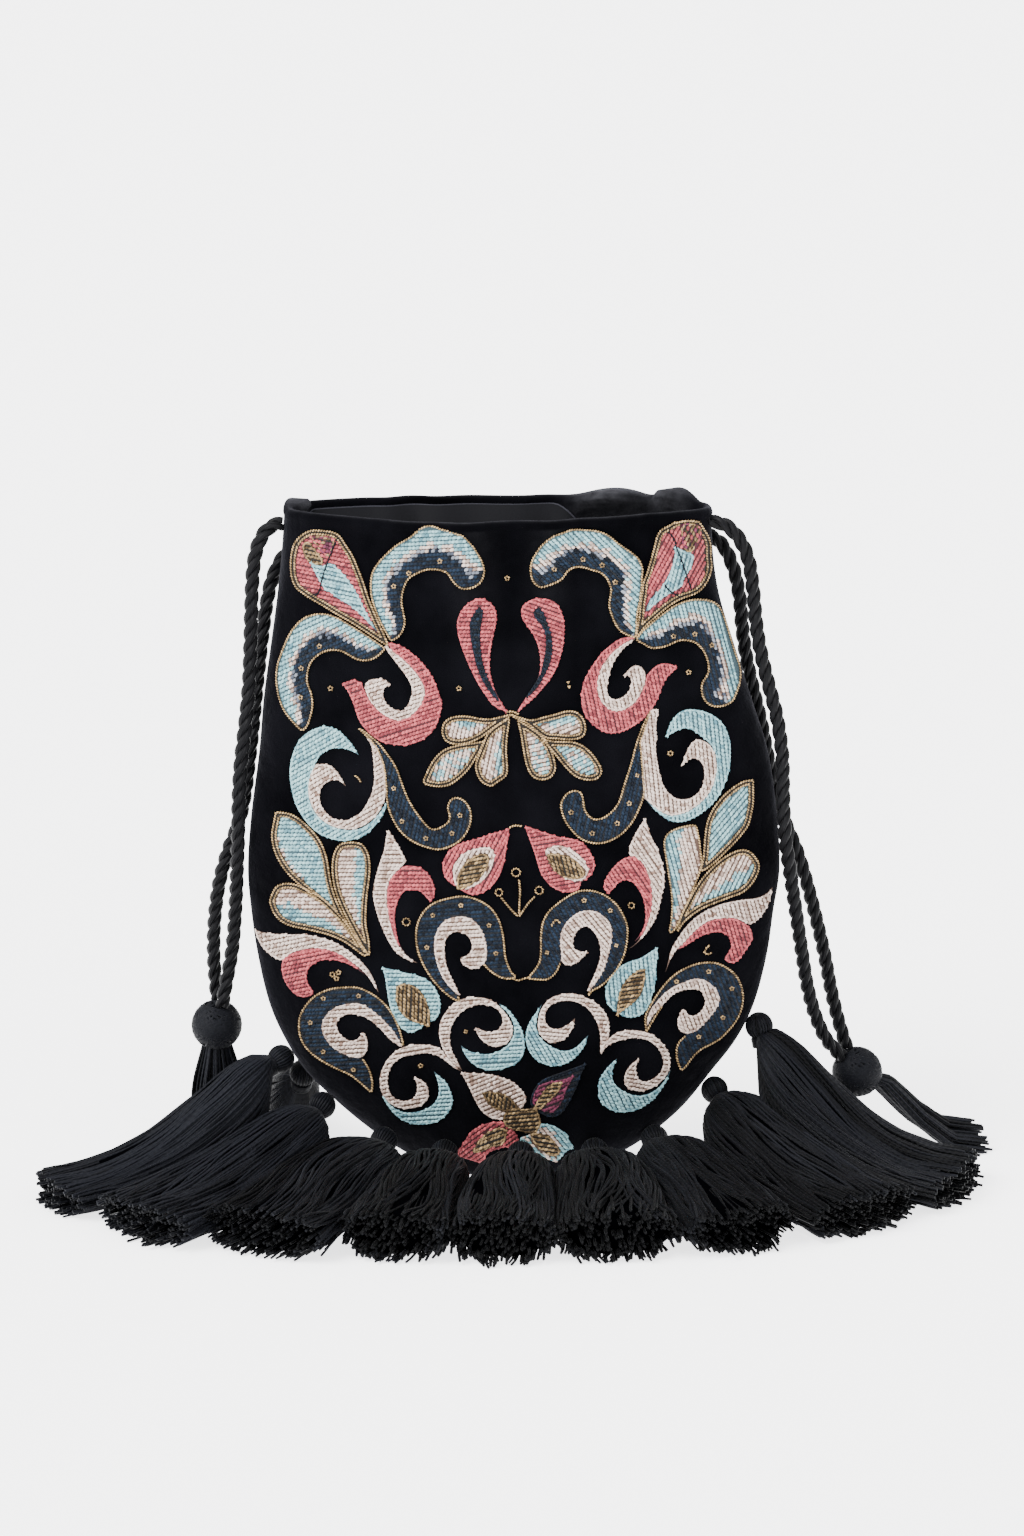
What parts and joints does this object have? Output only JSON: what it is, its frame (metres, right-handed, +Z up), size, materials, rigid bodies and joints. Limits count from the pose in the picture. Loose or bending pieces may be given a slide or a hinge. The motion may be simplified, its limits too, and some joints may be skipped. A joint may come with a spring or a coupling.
{
  "type": "drawstring evening pouch with tassel fringe",
  "caption": "Embroidered velvet drawstring pouch with a rounded base, twisted drawcords ending in tassels, and a thread tassel fringe along the seam.",
  "frame": {"origin": "middle of the flat base that the pouch stands on", "axes": "+X across the front from its left to its right, -Y out of the embroidered front, +Z up towards the mouth"},
  "size_m": [0.3683, 0.196, 0.2664],
  "materials": {
    "velvet": "black cut-pile velvet",
    "lining": "dark grey plain-woven lining",
    "fringe_thread": "black plied thread with a soft sheen",
    "cord_thread": "black twisted cord",
    "stitch_blue": "light blue embroidery thread",
    "stitch_cream": "cream embroidery thread",
    "stitch_coral": "coral embroidery thread",
    "stitch_navy": "navy embroidery thread",
    "stitch_gold": "gold twisted thread, couched down"
  },
  "bodies": {
    "root": {"velvet_pouch": "velvet", "lining": "lining", "fringe_tassel_1": "fringe_thread", "fringe_tassel_2": "fringe_thread", "fringe_tassel_3": "fringe_thread", "fringe_tassel_4": "fringe_thread", "fringe_tassel_5": "fringe_thread", "fringe_tassel_6": "fringe_thread", "fringe_tassel_7": "fringe_thread", "fringe_tassel_8": "fringe_thread", "fringe_tassel_9": "fringe_thread", "fringe_tassel_back": "fringe_thread", "drawcord_tassel_left": "cord_thread", "drawcord_tassel_right": "cord_thread", "drawcord_left_front": "cord_thread", "drawcord_left_back": "cord_thread", "drawcord_right_front": "cord_thread", "drawcord_right_back": "cord_thread"}
  },
  "joints": []
}
